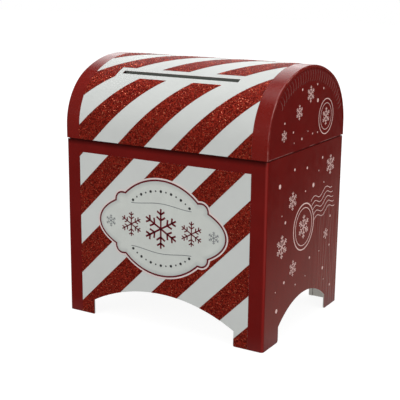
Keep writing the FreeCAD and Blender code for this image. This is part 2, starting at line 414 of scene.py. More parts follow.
def body_painted_shade_and_highlight(tree, place, base, own):
    """Painted shade on the print just under the lid's edge, and a painted highlight on the upright corner
    bends.
    """
    painted_lid_shade_depth = 3.0 * MM
    across, back, up = sides_of(tree, place)
    # Painted shade: the front and back darken in their top 3 mm, just under the lid's edge
    high = node(tree, RANGE, {"Value": up, "From Min": RIM_Z - painted_lid_shade_depth, "From Max": RIM_Z})
    flat = node(tree, RANGE, {"Value": back, "From Min": HALF_DEPTH - 0.5 * MM,
                              "From Max": HALF_DEPTH - 0.1 * MM})
    painted_lid_shade = node(tree, MATH, {0: high["Result"], 1: flat["Result"]}, operation="MULTIPLY")
    # Painted highlight: the upright corner bends are printed a lighter red
    past = [node(tree, MATH, {0: away, 1: half - BODY_CORNER}, operation="SUBTRACT")["Value"]
            for away, half in ((across, HALF_WIDTH), (back, HALF_DEPTH))]
    corner = node(tree, MATH, {0: past[0], 1: past[1]}, operation="MINIMUM")
    painted_corner_highlight = node(tree, RANGE, {"Value": corner["Value"], "From Min": 0.1 * BODY_CORNER,
                              "From Max": 0.6 * BODY_CORNER})
    # Lighter red on the corners (painted highlight), then darker red under the lid (painted shade)
    for share, tone in ((painted_corner_highlight["Result"], 1.5), (painted_lid_shade["Value"], 0.2)):
        base = node(tree, MIX, {SHARE: share, FIRST: base, SECOND: shaded(own["side_red"], tone)},
                    data_type="RGBA")[MIXED]
    return base


def painted_highlight_line(tree, line, broken, base, own):
    """Painted highlight: a pale tint mixed in along a line that is broken here and there."""
    share = node(tree, MATH, {0: line, 1: broken}, operation="MULTIPLY")["Value"]
    return node(tree, MIX, {SHARE: share, FIRST: base, SECOND: own["worn"]}, data_type="RGBA")[MIXED]


def fold_highlight(tree, place, base, own):
    """Painted highlight: a thin bright line where the barrel folds over its ends and catches light."""
    across, _, _ = sides_of(tree, place)
    outer = node(tree, RANGE, {"Value": across, "From Min": LID_HALF_WIDTH - 0.45 * MM,
                               "From Max": LID_HALF_WIDTH - 0.3 * MM})
    inner = node(tree, RANGE, {"Value": across, "From Min": LID_HALF_WIDTH - 0.05 * MM,
                               "From Max": LID_HALF_WIDTH - 0.14 * MM})
    line = node(tree, MATH, {0: outer["Result"], 1: inner["Result"]}, operation="MULTIPLY")
    broken = patches(tree, place, 7 * MM, 0.0, 0.45, 4.0, 0.44, 0.62)
    return painted_highlight_line(tree, line["Value"], broken, base, own)


def hem_highlight(tree, place, base, own):
    """Painted highlight: a thin bright line along the lower edge of the lid's ends, where it catches light.
    """
    _, _, up = sides_of(tree, place)
    line = node(tree, RANGE, {"Value": up, "From Min": LID_BASE + 0.36 * MM,
                              "From Max": LID_BASE + 0.22 * MM})
    broken = patches(tree, place, 9 * MM, 0.0, 0.5, 4.0, 0.42, 0.6)
    return painted_highlight_line(tree, line["Result"], broken, base, own)


def ripple_strength(tree, place):
    """How much the sheet ripples: on the sides alone, and most at the back and near the feet."""
    across, _, up = sides_of(tree, place)
    back = node(tree, PARTS, {"Vector": place})["Y"]
    strength = 1.0
    for value, calm, rippled in ((back, 0.0, 30 * MM), (up, 80 * MM, 45 * MM),
                                 (across, HALF_WIDTH - 1 * MM, HALF_WIDTH)):
        ramp = node(tree, RANGE, {"Value": value, "From Min": calm, "From Max": rippled, "To Min": 0.1})
        strength = node(tree, MATH, {0: strength, 1: ramp["Result"]}, operation="MINIMUM")["Value"]
    return strength


def varnished_ink(name, ink, roughness, ior, mottle, painted_light, own):
    """Lithographed tinplate: flat ink under satin varnish on sheet that is never quite flat."""
    made, tree, place = new_material(name)
    mottle_size, gloss_size, hollow_size, ripple_size = 14 * MM, 5 * MM, 30 * MM, 2.6 * MM
    base = mottled(tree, place, ink, mottle_size, 1 - mottle)
    # Painted shade and highlights of this finish, where it has them
    if painted_light:
        base = painted_light(tree, place, base, own)
    gloss = patches(tree, place, gloss_size, roughness - 0.04, roughness + 0.05, 4.0)
    hollows = node(tree, NOISE, {"Vector": place, "Scale": 1 / hollow_size, "Detail": 0.0})
    waves = node(tree, BUMP, {"Height": hollows["Fac"], "Strength": 0.35, "Distance": 0.25 * MM})
    upright = node(tree, "ShaderNodeMapping", {"Vector": place, "Scale": (1.0, 1.0, 0.12)})
    ripples = node(tree, NOISE, {"Vector": upright["Vector"], "Scale": 1 / ripple_size, "Detail": 2.0})
    sheet = node(tree, BUMP, {"Height": ripples["Fac"], "Strength": ripple_strength(tree, place),
                              "Distance": 0.3 * MM, "Normal": waves["Normal"]})
    return closed_material(made, {"Base Color": base, "Roughness": gloss, "IOR": ior,
                                  "Normal": sheet["Normal"]})


def glitter_bed(colours):
    """Glitter set in red glue: small facets at all angles, drawn about 0.6 mm wide so that they show."""
    made, tree, place = new_material("glitter_bed")
    facet_size = 0.6 * MM
    cells = node(tree, "ShaderNodeTexVoronoi", {"Vector": place, "Scale": 1 / facet_size})
    pick = node(tree, "ShaderNodeSeparateColor", {"Color": cells["Color"]})["Red"]
    share = node(tree, RANGE, {"Value": pick, "From Min": 0.2})["Result"]
    base = node(tree, MIX, {SHARE: share, FIRST: colours.glitter_dark, SECOND: colours.glitter_mid},
                data_type="RGBA")
    facets = node(tree, BUMP, {"Height": pick, "Strength": 0.6, "Distance": 0.08 * MM})
    return closed_material(made, {"Base Color": base[MIXED], "Metallic": 0.2, "Roughness": 0.5,
                                  "IOR": 1.15, "Normal": facets["Normal"]})


def glitter_flake(colours):
    """Cut foil flakes: bright metal, each a little different in colour by its own tint."""
    made, tree, _ = new_material("glitter_flake")
    chance = node(tree, "ShaderNodeAttribute", attribute_name="tint")["Fac"]
    base = colours.glitter_dark
    foils = ((0.0, 0.75, 1.0, colours.glitter_mid), (0.76, 1.0, 0.8, colours.glitter_bright))
    for low, high, most, foil in foils:
        share = node(tree, RANGE, {"Value": chance, "From Min": low, "From Max": high, "To Max": most})
        base = node(tree, MIX, {SHARE: share["Result"], FIRST: base, SECOND: foil}, data_type="RGBA")[MIXED]
    return closed_material(made, {"Base Color": base, "Metallic": 0.6, "Roughness": 0.34})


def bare_tinplate(name, metal, roughness):
    """Rolled tinplate: grey metal with dull clouds and rolling lines, drawn 0.5 mm wide so as to show."""
    made, tree, place = new_material(name)
    cloud_size, line_size = 12 * MM, 0.5 * MM
    along = node(tree, "ShaderNodeMapping", {"Vector": place, "Scale": (1.0, 1.0, 0.04)})
    lines = node(tree, NOISE, {"Vector": along["Vector"], "Scale": 1 / line_size, "Detail": 2.0})["Fac"]
    base = mottled(tree, place, metal, cloud_size, 0.88)
    gloss = node(tree, RANGE, {"Value": lines, "From Min": 0.3, "From Max": 0.7,
                               "To Min": roughness - 0.06, "To Max": roughness + 0.08})
    bump = node(tree, BUMP, {"Height": lines, "Strength": 0.3, "Distance": 0.01 * MM})
    return closed_material(made, {"Base Color": base, "Metallic": 0.9, "Roughness": gloss["Result"],
                                  "Normal": bump["Normal"]})


def label_paper(colours):
    """The label's field: pale print that greys towards its edge, read from each point's inset."""
    made, tree, place = new_material("label_field")
    inset = node(tree, "ShaderNodeAttribute", attribute_name="inset")["Fac"]
    paper = mottled(tree, place, colours.label, 8 * MM, 0.95)
    grey = node(tree, RANGE, {"Value": inset, "From Min": 0.0, "From Max": LABEL_GREYING,
                              "To Min": 0.3, "To Max": 0.0})
    base = node(tree, MIX, {SHARE: grey["Result"], FIRST: paper, SECOND: colours.label_grey},
                data_type="RGBA")
    return closed_material(made, {"Base Color": base[MIXED], "Roughness": 0.42, "IOR": 1.45})


# Printed finishes: the material's name, its colour, roughness, IOR, mottle of the ink, and its painted
# shade and highlights
INKS = {
    "red": ("red_litho_varnish", "red", 0.26, 1.45, 0.12, fold_highlight),
    "body_red": ("body_red_litho_varnish", "side_red", 0.16, 1.45, 0.12, body_painted_shade_and_highlight),
    "side_red": ("side_red_litho_varnish", "side_red", 0.16, 1.45, 0.12, hem_highlight),
    # The neck's dark print is painted shade for the gap under the lid
    "neck": ("neck_litho_varnish", "neck", 0.45, 1.4, 0.06, None),
    "white": ("white_litho_varnish", "white", 0.4, 1.25, 0.03, None),
    "snow": ("snow_ink", "snow", 0.5, 1.4, 0.06, None),
    "label_rim": ("label_rim_ink", "label_rim", 0.45, 1.4, 0.06, None),
    "label_line": ("label_line_ink", "label_line", 0.45, 1.4, 0.06, None),
    "label_grey": ("label_grey_ink", "label_grey", 0.45, 1.4, 0.06, None),
    "label_dark": ("label_dark_ink", "label_dark", 0.45, 1.4, 0.06, None),
    "lacquer": ("grey_lacquer", "lacquer", 0.5, 1.3, 0.06, None),
}
MATERIALS = {}


def material(name):
    """The object's materials, each made once."""
    if not MATERIALS:
        colours = bpy.context.scene.tinbox_colours
        own = {key: tuple(getattr(colours, key)) for key in colours.__annotations__}
        for key, (label, ink, *look) in INKS.items():
            MATERIALS[key] = varnished_ink(label, own[ink], *look, own)
        MATERIALS["label"] = label_paper(colours)
        MATERIALS["bed"] = glitter_bed(colours)
        MATERIALS["flake"] = glitter_flake(colours)
        MATERIALS["tinplate"] = bare_tinplate("rolled_tinplate", own["tinplate"], 0.42)
        MATERIALS["wire"] = bare_tinplate("drawn_steel_wire", own["wire"], 0.3)
    return MATERIALS[name]


# Geometry node trees

def new_tree(name, sockets):
    """A geometry tree with named inputs, given as name to socket type."""
    tree = bpy.data.node_groups.new(name, "GeometryNodeTree")
    tree.interface.new_socket("Geometry", in_out="INPUT", socket_type="NodeSocketGeometry")
    for label, kind in sockets.items():
        tree.interface.new_socket(label, in_out="INPUT", socket_type="NodeSocket" + kind)
    tree.interface.new_socket("Geometry", in_out="OUTPUT", socket_type="NodeSocketGeometry")
    return tree, node(tree, "NodeGroupInput")


def closed_tree(tree, instances, ink):
    """Ends a tree: instances become real and take their material."""
    real = node(tree, "GeometryNodeRealizeInstances", {"Geometry": instances})
    inked = node(tree, "GeometryNodeSetMaterial", {"Geometry": real["Geometry"], "Material": ink})
    node(tree, "NodeGroupOutput", {"Geometry": inked["Geometry"]})
    return tree


def grown(name, mesh, tree, values):
    """The plain mesh that a tree makes from a starting mesh."""
    seed = new_piece(name + "_start", mesh)
    modifier = seed.modifiers.new(name, "NODES")
    modifier.node_group = tree
    for socket in tree.interface.items_tree:
        if socket.in_out == "INPUT" and socket.name in values:
            modifier[socket.identifier] = values[socket.name]
    seed.update_tag()
    bpy.context.view_layer.update()
    graph = bpy.context.evaluated_depsgraph_get()
    made = bpy.data.meshes.new_from_object(seed.evaluated_get(graph))
    made.name = name
    bpy.data.objects.remove(seed)
    return new_piece(name, made)


def point_mesh(name, places, sizes):
    """Loose points with a size each."""
    mesh = bpy.data.meshes.new(name)
    mesh.from_pydata(places, [], [])
    mesh.attributes.new("size", "FLOAT", "POINT").data.foreach_set("value", sizes)
    return mesh


def set_on_points(tree, inputs, figure):
    """Instances of a flat figure on the start points, turned to face out and scaled by their size."""
    size = node(tree, "GeometryNodeInputNamedAttribute", {"Name": "size"}, data_type="FLOAT")
    scale = node(tree, "ShaderNodeCombineXYZ", {"X": size["Attribute"], "Y": size["Attribute"], "Z": 1.0})
    return node(tree, "GeometryNodeInstanceOnPoints",
                {"Points": inputs["Geometry"], "Instance": figure, "Rotation": inputs["Facing"],
                 "Scale": scale["Vector"]})["Instances"]


def dot_tree():
    """Round dots of ink."""
    tree, inputs = new_tree("snow dots", {"Facing": "Rotation", "Ink depth": "Float", "Ink": "Material"})
    figure = node(tree, "GeometryNodeMeshCylinder", {"Vertices": 18, "Radius": 1.0,
                                                     "Depth": inputs["Ink depth"]})
    return closed_tree(tree, set_on_points(tree, inputs, figure["Mesh"]), inputs["Ink"])


def snowflake_tree():
    """Six-armed snowflakes: one arm with two pairs of twigs, repeated round the middle."""
    tree, inputs = new_tree("snowflakes", {"Facing": "Rotation", "Ink depth": "Float", "Stroke": "Float",
                                           "Ink": "Material"})
    twigs, twig_turn = ((0.42, 0.3), (0.72, 0.26)), math.radians(55)

    def bar(start, reach, turn):
        """A bar from a point on the arm, reaching out at an angle to it."""
        size = node(tree, "ShaderNodeCombineXYZ", {"X": reach, "Y": inputs["Stroke"],
                                                   "Z": inputs["Ink depth"]})
        cube = node(tree, "GeometryNodeMeshCube", {"Size": size["Vector"]})
        middle = (start + reach / 2 * math.cos(turn), reach / 2 * math.sin(turn), 0.0)
        return node(tree, "GeometryNodeTransform", {"Geometry": cube["Mesh"], "Translation": middle,
                                                    "Rotation": (0.0, 0.0, turn)})["Geometry"]

    bars = [bar(0.0, 1.0, 0.0)]
    bars += [bar(start, reach, side * twig_turn) for start, reach in twigs for side in (-1, 1)]
    arm = node(tree, "GeometryNodeJoinGeometry", {"Geometry": bars})
    middle = node(tree, "GeometryNodeMeshCircle", {"Vertices": 6, "Radius": 0.0001})
    index = node(tree, "GeometryNodeInputIndex")
    angle = node(tree, MATH, {0: index["Index"], 1: math.pi / 3, 2: math.pi / 6}, operation="MULTIPLY_ADD")
    turned = node(tree, "ShaderNodeCombineXYZ", {"Z": angle["Value"]})
    turn = node(tree, "FunctionNodeEulerToRotation", {"Euler": turned["Vector"]})
    arms = node(tree, "GeometryNodeInstanceOnPoints",
                {"Points": middle["Mesh"], "Instance": arm["Geometry"], "Rotation": turn["Rotation"]})
    flake = node(tree, "GeometryNodeRealizeInstances", {"Geometry": arms["Instances"]})
    return closed_tree(tree, set_on_points(tree, inputs, flake["Geometry"]), inputs["Ink"])


def glitter_tree():
    """Foil flakes strewn over a bed, each tilted its own way: a flat top over a point set in the glue."""
    tree, inputs = new_tree("glitter flakes", {"Density": "Float", "Radius": "Float", "Tilt": "Float",
                                               "Lift": "Float", "Seed": "Int", "Foil": "Material"})
    strewn = node(tree, "GeometryNodeDistributePointsOnFaces",
                  {"Mesh": inputs["Geometry"], "Density": inputs["Density"], "Seed": inputs["Seed"]})
    foil = node(tree, "GeometryNodeMeshCone", {"Vertices": 6, "Radius Top": inputs["Radius"],
                                               "Radius Bottom": 0.0, "Depth": inputs["Lift"]})
    # A random value's inputs 0 and 1 limit a vector, 2 and 3 a number, which is its output 1
    low = node(tree, MATH, {0: inputs["Tilt"], 1: -1.0}, operation="MULTIPLY")
    tilt = node(tree, "FunctionNodeRandomValue", {0: low["Value"], 1: inputs["Tilt"],
                                                  "Seed": inputs["Seed"]}, data_type="FLOAT_VECTOR")
    lean = node(tree, "FunctionNodeEulerToRotation", {"Euler": tilt["Value"]})
    turn = node(tree, "FunctionNodeRotateRotation", {"Rotation": strewn["Rotation"],
                                                     "Rotate By": lean["Rotation"]},
                rotation_space="LOCAL")
    size = node(tree, "FunctionNodeRandomValue", {2: 0.55, 3: 1.0, "Seed": inputs["Seed"]},
                data_type="FLOAT")
    flakes = node(tree, "GeometryNodeInstanceOnPoints",
                  {"Points": strewn["Points"], "Instance": foil["Mesh"],
                   "Rotation": turn["Rotation"], "Scale": size[1]})
    tint = node(tree, "FunctionNodeRandomValue", {"Seed": inputs["Seed"]}, data_type="FLOAT")
    tinted = node(tree, "GeometryNodeStoreNamedAttribute",
                  {"Geometry": flakes["Instances"], "Name": "tint", "Value": tint[1]},
                  data_type="FLOAT", domain="INSTANCE")
    return closed_tree(tree, tinted["Geometry"], inputs["Foil"])


def pleat_tree():
    """Short flutes pressed side by side along a curved edge."""
    tree, inputs = new_tree("pleats", {"Pitch": "Float", "Reach": "Float", "Depth": "Float",
                                       "Ink": "Material"})
    line = node(tree, "GeometryNodeMeshToCurve", {"Mesh": inputs["Geometry"]})
    steps = node(tree, "GeometryNodeResampleCurve", {"Curve": line["Curve"], "Length": inputs["Pitch"]},
                 mode="LENGTH")
    wide = node(tree, MATH, {0: inputs["Pitch"], 1: 0.42}, operation="MULTIPLY")
    half = node(tree, MATH, {0: inputs["Reach"], 1: 0.5}, operation="MULTIPLY")
    ball = node(tree, "GeometryNodeMeshUVSphere", {"Segments": 12, "Rings": 8, "Radius": 1.0})
    size = node(tree, "ShaderNodeCombineXYZ", {"X": inputs["Depth"], "Y": half["Value"],
                                               "Z": wide["Value"]})
    pleat = node(tree, "GeometryNodeTransform", {"Geometry": ball["Mesh"], "Scale": size["Vector"]})
    tangent = node(tree, "GeometryNodeInputTangent")
    facing = node(tree, "FunctionNodeAxesToRotation", {0: tangent["Tangent"], 1: (1.0, 0.0, 0.0)},
                  primary_axis="Z", secondary_axis="X")
    rows = node(tree, "GeometryNodeInstanceOnPoints",
                {"Points": steps["Curve"], "Instance": pleat["Geometry"],
                 "Rotation": facing["Rotation"]})
    smooth = node(tree, "GeometryNodeSetShadeSmooth", {"Geometry": rows["Instances"]})
    return closed_tree(tree, smooth["Geometry"], inputs["Ink"])


TREES = {}


def figure_tree(name):
    """The geometry trees, each made once."""
    makers = {"dots": dot_tree, "snowflakes": snowflake_tree, "glitter": glitter_tree,
              "pleats": pleat_tree}
    if name not in TREES:
        TREES[name] = makers[name]()
    return TREES[name]


# Fields of print

def arch_height(u):
    """Top of the front arch over a place across the front."""
    rise = FRONT_ARCH_CROWN - ARCH_SPRING
    radius = (FRONT_ARCH_HALF ** 2 + rise ** 2) / (2 * rise)
    return FRONT_ARCH_CROWN - radius + math.sqrt(radius ** 2 - u ** 2)


def front_cells(sizes, top):
    """Upright cells between the arch and the top border, feet included."""
    edge = HALF_WIDTH - sizes.side_border
    arch_steps, foot_steps = 72, 4
    arch = [-FRONT_ARCH_HALF + 2 * FRONT_ARCH_HALF * i / arch_steps for i in range(arch_steps + 1)]
    foot = [FRONT_ARCH_HALF + (edge - FRONT_ARCH_HALF) * i / foot_steps for i in range(foot_steps + 1)]
    tip, low = 0.8 * MM, 0.3 * MM
    cells = []
    for a, b in zip(arch, arch[1:]):
        cells.append([(a, arch_height(a)), (b, arch_height(b)), (b, top), (a, top)])
    for a, b in zip(foot, foot[1:]):
        inner_low = tip if a == foot[0] else low
        for a_low, b_low, high in ((inner_low, low, ARCH_SPRING), (ARCH_SPRING, ARCH_SPRING, top)):
            cells.append([(a, a_low), (b, b_low), (b, high), (a, high)])
            cells.append([(-b, b_low), (-a, a_low), (-a, high), (-b, high)])
    return cells


def split_up(cells, count):
    """Upright cells cut into rows."""
    made = []
    for left, right, right_top, left_top in cells:
        rows = []
        for step in range(count + 1):
            part = step / count
            rows.append(((left[0], left[1] + part * (left_top[1] - left[1])),
                         (right[0], right[1] + part * (right_top[1] - right[1]))))
        made += [[low[0], low[1], high[1], high[0]] for low, high in zip(rows, rows[1:])]
    return made


def lid_cells(sizes, gap_half_width, gap_half_length):
    """Cells round the lid, leaving out an oblong about the slot."""
    edge = HALF_WIDTH - sizes.side_border
    gap = (SLOT_FROM_RIM - gap_half_width, SLOT_FROM_RIM + gap_half_width)
    row_count, mark_count = 104, 6
    rows = sorted({LID_ARC * i / row_count for i in range(row_count + 1)} | set(gap))
    marks = {edge * (2 * i / mark_count - 1) for i in range(mark_count + 1)}
    marks = sorted(marks | {-gap_half_length, gap_half_length})
    cells = []
    for a, b in zip(rows, rows[1:]):
        beside_slot = gap[0] < (a + b) / 2 < gap[1]
        for p, q in zip(marks, marks[1:]):
            if not (beside_slot and abs(p + q) / 2 < gap_half_length):
                cells.append([(p, a), (q, a), (q, b), (p, b)])
    return cells


# Outline of the label: half height of its long round, radius of its tall one, place and radius of a lobe
LABEL_ENDS = 18.8 * MM
LABEL_CROWN = 34.0 * MM
LABEL_LOBE = (26.0 * MM, 13.5 * MM, 4.5 * MM)
LABEL_CLEARANCE = 1.6 * MM
LABEL_GREYING = 2.6 * MM


def label_reach(angle, grow):
    """From the label's middle to its edge: two crossed rounds and four corner lobes, grown by a width."""
    sizes = bpy.context.scene.tinbox_print
    across, up = abs(math.cos(angle)), abs(math.sin(angle))
    reach = 1 / math.hypot(across / (sizes.label_width + grow), up / (LABEL_ENDS + grow))
    for u, v, radius in ((0.0, sizes.label_height - LABEL_CROWN, LABEL_CROWN), LABEL_LOBE):
        aside = u * up - v * across
        if abs(aside) < radius + grow:
            reach = max(reach, u * across + v * up + math.sqrt((radius + grow) ** 2 - aside ** 2))
    return reach


def label_outline(grow):
    """The label's edge as points, grown or drawn in by a width."""
    middle = bpy.context.scene.tinbox_print.label_middle
    count = 300
    turns = [2 * math.pi * i / count for i in range(count)]
    reaches = [label_reach(turn, grow) for turn in turns]
    return [(reach * math.cos(turn), middle + reach * math.sin(turn))
            for turn, reach in zip(turns, reaches)]


def under_label(u, v):
    """Whether a place on the front lies under the label."""
    rise = v - bpy.context.scene.tinbox_print.label_middle
    return math.hypot(u, rise) < label_reach(math.atan2(rise, u), LABEL_CLEARANCE)


# Layout of the snow print on a side: across, up and size in millimetres
SIDE_FLAKES = ((32.7, 90.2, 6.0), (-18.3, 78.1, 5.3), (-30.4, 54.8, 6.6), (-15.3, 38.7, 4.7),
               (29.7, 48.3, 3.4))
SIDE_DOTS = ((-35, 89.4, 1.3), (9, 82.1, 1.3), (20.6, 96.2, 0.8), (-17, 95.5, 0.8), (-0.5, 93.7, 0.8),
             (-26.9, 67.8, 0.9), (7.2, 39.1, 0.8), (27.1, 27.5, 1.0), (-26.3, 33.3, 0.9), (39.1, 13.5, 0.8),
             (35.6, 58, 0.7), (36, 39.7, 0.7), (-34.9, 19.2, 1.2), (15.9, 89.3, 0.45), (-1.7, 80.5, 0.5),
             (24, 81, 0.45), (-31.4, 72.4, 0.4), (-11.3, 27.9, 0.5), (-36.9, 30.7, 0.4), (20.8, 39.7, 0.4),
             (2, 29.4, 0.4), (29.1, 19.8, 0.4))
SIDE_MARK = (-2.5, 60.0, 13.8)
END_FLAKES = ((1.2, 135.0, 4.7), (-31.3, 116.0, 3.3), (-13.0, 126.5, 4.2))
END_DOTS = ((-10.1, 138.6, 0.7), (9.8, 139.7, 0.6), (18.6, 136.6, 0.6), (11, 130.5, 1.1),
            (-31.1, 122.8, 0.6), (-20.1, 116.6, 0.6), (-8.8, 111.4, 0.7), (5.4, 112.4, 0.5),
            (12.2, 112.2, 0.5), (-1, 114.6, 0.35), (-18.6, 110.5, 0.35))
END_MARK = (23.5, 120.0, 10.4)

# Width of a snowflake's strokes, as a share of its arm
FLAKE_STROKE = 0.095


def strewn_print(name, motif, marks, place, facing, ink):
    """A motif repeated at places on a wall."""
    sizes = bpy.context.scene.tinbox_print
    places = [place(u * MM, v * MM, sizes.ink / 2) for u, v, _ in marks]
    mesh = point_mesh(name, places, [size * MM for _, _, size in marks])
    values = {"Facing": facing, "Ink depth": sizes.ink, "Stroke": FLAKE_STROKE, "Ink": material(ink)}
    return grown(name, mesh, figure_tree(motif), values)


class TINBOX_OT_body_sheet(bpy.types.Operator):
    """Red printed body, bare inside"""
    bl_idname = "tinbox.body_sheet"
    bl_label = "Body sheet"

    def execute(self, context):
        def depth(place):
            """How far a place lies inside the body's outer face."""
            across = abs(place.x) - HALF_WIDTH + BODY_CORNER
            back = abs(place.y) - HALF_DEPTH + BODY_CORNER
            outside = math.hypot(max(across, 0), max(back, 0)) + min(max(across, back), 0)
            return BODY_CORNER - outside

        def is_bare(middle, normal):
            inward = -(normal.x * middle.x / HALF_WIDTH + normal.y * middle.y / HALF_DEPTH)
            return depth(middle) > 0.5 * SHEET and inward > 0.2

        def neck_bare(middle, normal):
            return normal.x * middle.x / HALF_WIDTH + normal.y * middle.y / HALF_DEPTH < 0.2

        piece = sheet_copy("body_shell", "body_sheet", material("body_red"), material("tinplate"), is_bare)
        finished(piece, "box", "striped_print", "body_shell")
        # The neck's outside takes the dark neck print, painted shade in the gap under the lid; inside it is
        # bare
        neck = sheet_copy("neck_collar", "neck_sheet", material("neck"), material("tinplate"), neck_bare)
        finished(neck, "box", "bare_tinplate", "neck_collar")
        metals = {"floor_pan": "tinplate", "hinge_pin_left": "wire", "hinge_pin_right": "wire"}
        for name, metal in metals.items():
            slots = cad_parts[name].data.materials
            slots.clear()
            slots.append(material(metal))
        return {"FINISHED"}


class TINBOX_OT_lid_sheet(bpy.types.Operator):
    """Red printed barrel of the lid and its two pleated ends, bare inside"""
    bl_idname = "tinbox.lid_sheet"
    bl_label = "Lid sheet"

    def execute(self, context):
        def depth(place):
            """How far a place lies inside the barrel's outer face."""
            across = abs(place.y)
            if place.z < SPRING_Z:
                return LID_HALF_DEPTH - across
            turn = math.atan2(place.z - CROWN_Z, across)
            if turn < SHOULDER_TURN:
                return SHOULDER - math.hypot(across - SHOULDER_Y, place.z - SPRING_Z)
            return CROWN - math.hypot(across, place.z - CROWN_Z)

        def barrel_bare(middle, normal):
            inward = -(normal.y * middle.y + normal.z * (middle.z - LID_BASE))
            return abs(depth(middle) - SHEET) < 0.12 * MM and inward > 0 and abs(normal.x) < 0.9

        def end_bare(middle, normal):
            return abs(middle.x) < LID_FACE - 0.6 * SHEET

        barrel = sheet_copy("lid_barrel", "lid_sheet", material("red"), material("tinplate"), barrel_bare)
        finished(barrel, "lid", "striped_print", "lid_barrel")
        self.slot_lip()
        for side in ("left", "right"):
            end = sheet_copy("lid_end_" + side, "lid_end_sheet_" + side, material("side_red"),
                             material("tinplate"), end_bare)
            finished(end, "lid", "red_print", "lid_end_" + side)
            self.pleats(side)
        return {"FINISHED"}

    def slot_lip(self):
        """The slot's back edge turned down inside the lid, so that it shows grey through the slot."""
        edge, depth = SLOT_FROM_RIM + SLOT_WIDTH / 2, 3.5 * MM
        half = SLOT_LENGTH / 2

        def place(u, v, height):
            at = Vector(on_lid(u, edge, 0.0))
            inward = Vector(on_lid(u, edge, -MM)) - at
            back = Vector((1, 0, 0)).cross(inward)
            return at + (inward * v + back * height) / MM

        cell = [(-half, SHEET / 2), (half, SHEET / 2), (half, depth), (-half, depth)]
        lip = printed("slot_lip", [cell], place, 0.0, SHEET, material("lacquer"))
        finished(lip, "lid", "bare_tinplate")

    def pleats(self, side):
        """Flutes where an end's rim was drawn round the curve."""
        reach, depth, pitch = 7.0 * MM, 0.14 * MM, 3.2 * MM
        inset = END_LIP + reach / 2 + 0.6 * MM
        face = LID_FACE if side == "right" else -LID_FACE
        first, last, count = LID_SKIRT + 27 * MM, LID_ARC - LID_SKIRT - 14 * MM, 120
        ways = [first + (last - first) * i / count for i in range(count + 1)]
        rail = [on_lid(face, way, -inset) for way in ways]
        mesh = bpy.data.meshes.new("pleats_" + side)
        mesh.from_pydata(rail, [(i, i + 1) for i in range(count)], [])
        piece = grown("lid_end_pleats_" + side, mesh, figure_tree("pleats"),
                      {"Pitch": pitch, "Reach": reach, "Depth": depth, "Ink": material("side_red")})
        finished(piece, "lid", "red_print")


class TINBOX_OT_stripes(bpy.types.Operator):
    """White fields and red glitter stripes on the front, the back and the lid"""
    bl_idname = "tinbox.stripes"
    bl_label = "Stripes"

    def execute(self, context):
        sizes = context.scene.tinbox_print
        top = RIM_Z - sizes.top_border
        wall = front_cells(sizes, top)
        slot_half = SLOT_LENGTH / 2
        round_slot = lid_cells(sizes, SLOT_WIDTH / 2, slot_half)
        round_frame = lid_cells(sizes, SLOT_WIDTH / 2 + sizes.slot_frame, slot_half + sizes.slot_frame)
        fields = (
            ("front", "box", on_front, wall, wall, sizes.front_start),
            ("back", "box", on_back, wall, wall, sizes.front_start),
            ("lid", "lid", on_lid, round_slot, round_frame, sizes.lid_start),
        )
        for seed, (name, body, place, white, striped_field, start) in enumerate(fields):
            panel = printed("white_field_" + name, white, place, 0.0, sizes.ink, material("white"))
            finished(panel, body, "striped_print")
            self.glitter(name, body, place, striped_field, start, seed)
        return {"FINISHED"}

    def glitter(self, name, body, place, field, start_edge, seed):
        """A bed of glitter along each red stripe, with flakes strewn on it clear of the label."""
        sizes = bpy.context.scene.tinbox_print
        top = sizes.ink + sizes.glitter
        tilt, lift = 0.5, 0.07 * MM
        bands = striped(field, start_edge, sizes.stripe_pitch)
        bed = printed("glitter_bed_" + name, bands, place, sizes.ink, top, material("bed"))
        finished(bed, body, "striped_print")
        if name == "front":
            small = striped(split_up(field, 60), start_edge, sizes.stripe_pitch)
            bands = [cell for cell in small if not any(under_label(u, v) for u, v in cell)]
        start = bpy.data.meshes.new("glitter_start_" + name)
        corners = [place(u, v, top) for cell in bands for u, v in cell]
        faces, used = [], 0
        for cell in bands:
            faces.append(list(range(used, used + len(cell))))
            used += len(cell)
        start.from_pydata(corners, [], faces)
        flakes = grown("glitter_flakes_" + name, start, figure_tree("glitter"),
                       {"Density": sizes.flakes_per_mm2 / MM ** 2, "Radius": sizes.flake_radius,
                        "Tilt": tilt, "Lift": lift, "Seed": seed + 3, "Foil": material("flake")})
        finished(flakes, body, "striped_print")


